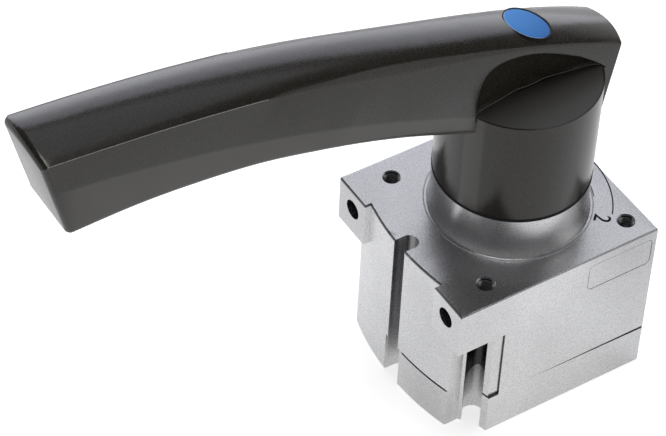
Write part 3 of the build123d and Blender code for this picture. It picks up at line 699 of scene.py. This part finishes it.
def cap_disc():
    """The tilted cap: a slightly crowned disc with a soft rim and a stem down into the screw's bore."""
    let_go()
    bpy.ops.mesh.primitive_cylinder_add(
        vertices=72, radius=CAP_R * MM, depth=CAP_THICK * MM, location=(0, 0, -CAP_THICK / 2 * MM))
    cap = named("cap_disc")
    choose(cap, "EDGE", lambda a, b: min(a.z, b.z) > -0.01)
    bpy.ops.mesh.bevel(offset=0.28 * MM, segments=4)
    choose(cap, "FACE", lambda c, n: n.z > 0.99 and c.xy.length < 0.5)
    for inwards, rise in ((1.3, 0.05), (1.7, 0.04), (1.6, 0.02)):
        bpy.ops.mesh.inset(thickness=inwards * MM)
        bpy.ops.transform.translate(value=(0, 0, rise * MM))
    choose(cap, "FACE", lambda c, n: n.z < -0.99)
    bpy.ops.mesh.inset(thickness=3.1 * MM)
    bpy.ops.object.mode_set(mode="OBJECT")
    tilt_with_cap(cap)
    down = Vector((-math.sin(CAP_TILT), 0, -math.cos(CAP_TILT)))
    choose(cap, "FACE", lambda c, n: n.dot(down) > 0.99 and c.xy.length < 1.2)
    bpy.ops.mesh.extrude_region_move(TRANSFORM_OT_translate={"value": (0.7 * MM, 0, -4.5 * MM)})
    face_outwards(cap)
    smooth(cap, 30)
    dress(cap, CAP, "hand_lever")
    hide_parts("cap")


def cap_rings():
    """A dark crescent in the joint behind the cap, the painted shadow of its recess, and a painted highlight
    on the cap's light rim.
    """
    for name, inner, outer, low, high, shift, material in (
        # painted shadow: a dark ring shifted to one side; painted highlight: a light ring on the rim
        ("cap_recess_shadow_ring", 5.98, 6.42, -0.9, 0.06, (-0.36, -0.12), INK_AND_SHADE),
        ("cap_rim_highlight_line", 5.96, 6.13, -0.3, 0.03, (0.0, 0.0), CAP_RIM_HIGHLIGHT),
    ):
        ring = hoop(name, inner, outer, low, high, 0.03, 72)
        choose(ring, "VERT", lambda c: c.xy.length < (inner + outer) / 2)
        bpy.ops.transform.translate(value=(shift[0] * MM, shift[1] * MM, 0))
        bpy.ops.object.mode_set(mode="OBJECT")
        tilt_with_cap(ring)
        dress(ring, material, "hand_lever")


def on_plate(radius, turn):
    """A place on the flange's top, 0.01 mm proud of it."""
    return (radius * math.cos(turn) * MM, radius * math.sin(turn) * MM, (PLATE_Z + 0.01) * MM)


def digit(text, name, radius, degrees, size):
    """A flat painted digit whose foot points to the collar."""
    let_go()
    bpy.ops.object.text_add(location=(0, 0, 0))
    letter = bpy.context.object.data
    letter.body = text
    letter.size = size * MM
    letter.extrude = 0.02 * MM
    letter.offset = 0.05 * MM
    letter.align_x = "CENTER"
    letter.align_y = "CENTER"
    bpy.ops.object.convert(target="MESH")
    piece = bpy.context.object
    turn = math.radians(degrees)
    piece.location = on_plate(radius, turn)
    piece.rotation_euler = (0, 0, turn - math.pi / 2)
    piece.scale = (0.9, 1.0, 1.0)
    piece = named(name)
    face_outwards(piece)
    dress(piece, INK_AND_SHADE, "housing")


def sector_line(name, radius, start, end, wide):
    """A painted arc on the flange, swept round the turning axis."""
    turn = math.radians(start)
    let_go()
    bpy.ops.mesh.primitive_cube_add(size=1.0, location=on_plate(radius, turn), rotation=(0, 0, turn))
    bpy.context.object.scale = (wide * MM, 0.02 * MM, 0.04 * MM)
    piece = named(name)
    way = Vector((-math.sin(turn), math.cos(turn), 0)) * (1 if end > start else -1)
    choose(piece, "FACE", lambda c, n: n.dot(way) > 0.9)
    bpy.ops.mesh.spin(steps=36, angle=math.radians(end - start), center=(0, 0, 0), axis=(0, 0, 1))
    face_outwards(piece)
    dress(piece, INK_AND_SHADE, "housing")


def position_marks():
    """The digits of the three positions, the arcs between them and the dark line at the collar's foot."""
    digit_r = 24.2
    digit_turn = 46.8
    line_r = 26.7
    digit("0", "mark_0", digit_r + 0.3, 0.0, 4.6)
    digit("1", "mark_1", digit_r, digit_turn, 6.2)
    digit("2", "mark_2", digit_r, -digit_turn, 6.2)
    sector_line("sector_line_1", line_r, 3.0, 48.0, 0.34)
    sector_line("sector_line_2", line_r, -3.0, -48.0, 0.34)
    sector_line("collar_foot_line", COLLAR_FOOT_R + 0.52, -28.0, -66.0, 0.22)


def front_plate():
    """The bare plate in the shallow front recess."""
    left, right, low, high = 5.95, 25.25, 38.75, 47.25
    face = -HALF_DEPTH + 0.02
    plate = bar("front_plate", (left, right), (face, face + 0.36), (low, high))
    choose(plate, "EDGE", lambda a, b: abs(a.y - b.y) > 0.2)
    bpy.ops.mesh.bevel(offset=1.45 * MM, segments=6)
    choose(plate, "FACE", lambda c, n: n.y < -0.9)
    bpy.ops.mesh.inset(thickness=0.25 * MM, depth=0.0)
    near = 0.01
    choose(plate, "EDGE", lambda a, b: max(a.y, b.y) < face + 0.08 and (
        min(a.x, b.x) < left + near or max(a.x, b.x) > right - near
        or min(a.z, b.z) < low + near or max(a.z, b.z) > high - near))
    bpy.ops.mesh.bevel(offset=0.08 * MM, segments=2)
    bpy.ops.object.mode_set(mode="OBJECT")
    smooth(plate, 40)
    dress(plate, CAST, "housing")


def gasket_shade_strips():
    """Black strips in the gap between the two castings: the gasket's edge, and painted shade that fills the
    gap.
    """
    face = -HALF_DEPTH + 0.25
    top = SEAM_Z - 0.01
    # painted shade: a black wedge in the seam, taller to the right
    front = bar("gasket_shade_strip_front", (-9.0, RIGHT_X - 0.4), (face, face + 0.7), (12.85, top))
    choose(front, "VERT", lambda c: c.x < 0 and c.z < 13.2)
    bpy.ops.transform.translate(value=(0, 0, 0.9 * MM))
    choose(front, "EDGE", lambda a, b: max(a.y, b.y) < face + 0.05)
    bpy.ops.mesh.bevel(offset=0.03 * MM, segments=2)
    bpy.ops.object.mode_set(mode="OBJECT")
    dress(front, RUBBER, "housing")

    left = bar("gasket_shade_strip_left", (LEFT_X + 0.15, LEFT_X + 0.8), (-21.1, -4.05), (13.28, top))
    choose(left, "EDGE", lambda a, b: abs(a.y - b.y) > 1.0)
    bpy.ops.mesh.subdivide(number_cuts=9)
    bpy.ops.object.mode_set(mode="OBJECT")
    for place in sorted({round(v.co.y / MM, 2) for v in left.data.vertices}):
        choose(left, "VERT", lambda c: abs(c.y - place) < 0.05)
        bow = LEFT_WALL_R - math.sqrt(LEFT_WALL_R ** 2 - place ** 2)
        bpy.ops.transform.translate(value=(bow * MM, 0, 0))
    bpy.ops.object.mode_set(mode="OBJECT")
    smooth(left, 30)
    dress(left, RUBBER, "housing")


solids()
castings()
lever_shell()
threads()
collar_rings()
cap_disc()
cap_rings()
position_marks()
front_plate()
gasket_shade_strips()


# Floor, light and camera

def studio_floor():
    """A pale floor that glows for the camera and in reflections, and isn't seen from below."""
    let_go()
    bpy.ops.mesh.primitive_plane_add(size=6.0, location=(0, 0, -0.05 * MM))
    floor = bpy.context.object
    floor.name = "studio_floor"
    pale = rgb(0.86, 0.86, 0.86)
    f = Finish("Pale studio floor", Base_Color=pale, Roughness=0.9, Specular_IOR_Level=0.0)
    path = f.node("ShaderNodeLightPath").outputs
    seen = f.both(path["Is Camera Ray"], 0.72)
    mirrored = f.both(f.either(path["Is Glossy Ray"], path["Is Transmission Ray"]), 0.55)
    strength = f.math("ADD", seen, mirrored)
    glow = f.node("ShaderNodeEmission")
    f.link(strength, glow.inputs["Strength"])
    lit = f.node("ShaderNodeAddShader")
    f.link(f.shader.outputs[0], lit.inputs[0])
    f.link(glow.outputs[0], lit.inputs[1])
    one_way = f.node("ShaderNodeMixShader")
    f.link(f.node("ShaderNodeNewGeometry").outputs["Backfacing"], one_way.inputs[0])
    f.link(lit.outputs[0], one_way.inputs[1])
    f.link(f.node("ShaderNodeBsdfTransparent").outputs[0], one_way.inputs[2])
    f.link(one_way.outputs[0], f.tree.nodes["Material Output"].inputs["Surface"])
    floor.data.materials.append(f.mat)


def surround():
    """White low down and dark above, so that the top of the lever reflects a dark room."""
    world = bpy.data.worlds.new("Studio surround")
    bpy.context.scene.world = world
    world.use_nodes = True
    tree = world.node_tree
    direction = tree.nodes.new("ShaderNodeTexCoord")
    xyz = tree.nodes.new("ShaderNodeSeparateXYZ")
    ramp = tree.nodes.new("ShaderNodeValToRGB")
    low, high = ramp.color_ramp.elements
    low.position = 0.18
    low.color = rgb(1.0, 1.0, 1.0)
    high.position = 0.36
    high.color = rgb(0.07, 0.07, 0.075)
    tree.links.new(direction.outputs["Generated"], xyz.inputs[0])
    tree.links.new(xyz.outputs[2], ramp.inputs["Fac"])
    tree.links.new(ramp.outputs[0], tree.nodes["Background"].inputs["Color"])
    tree.nodes["Background"].inputs["Strength"].default_value = 1.0


def softbox(name, place, size, power, colour=(1.0, 1.0, 1.0), aim=(0.0, 0.0, 0.08)):
    data = bpy.data.lights.new(name, "AREA")
    data.shape = "RECTANGLE"
    data.size, data.size_y = size
    data.energy = power
    data.color = colour
    light = bpy.data.objects.new(name, data)
    bpy.context.scene.collection.objects.link(light)
    light.location = place
    light.rotation_euler = (Vector(aim) - Vector(place)).to_track_quat("-Z", "Y").to_euler()


def photo_camera():
    """A long lens at the photo's place, with the photo's turn given by its three directions."""
    data = bpy.data.cameras.new("photo_camera")
    data.sensor_fit = "HORIZONTAL"
    data.sensor_width = 36.0
    data.lens = 154.77
    data.clip_start = 0.01
    data.clip_end = 20.0
    camera = bpy.data.objects.new("photo_camera", data)
    bpy.context.scene.collection.objects.link(camera)
    place = (-0.32243, -0.39865, 0.56995)
    right = Vector((0.8471296, -0.5303638, 0.0329493))
    down = Vector((-0.3629481, -0.6227833, -0.6931159))
    ahead = Vector((0.3881238, 0.5752001, -0.7200727))
    turn = Matrix((right, -down, -ahead)).transposed()
    camera.matrix_world = Matrix.Translation(place) @ turn.to_4x4()
    bpy.context.scene.camera = camera


studio_floor()
surround()
softbox("back_softbox", (0.506, 1.136, 0.46), size=(1.75, 0.84), power=8.1, colour=(0.87, 0.89, 1.0))
softbox("overhead_softbox", (0.42, 0.50, 1.20), size=(0.85, 0.85), power=1.9, colour=(0.93, 0.94, 1.0))
softbox("top_softbox", (-0.05, -0.05, 1.35), size=(0.5, 0.5), power=3.9)
softbox("right_softbox", (0.82, -0.57, 0.74), size=(0.65, 0.65), power=1.05, aim=(0.0, 0.0, 0.06))
photo_camera()
bpy.context.scene.view_settings.view_transform = "Standard"
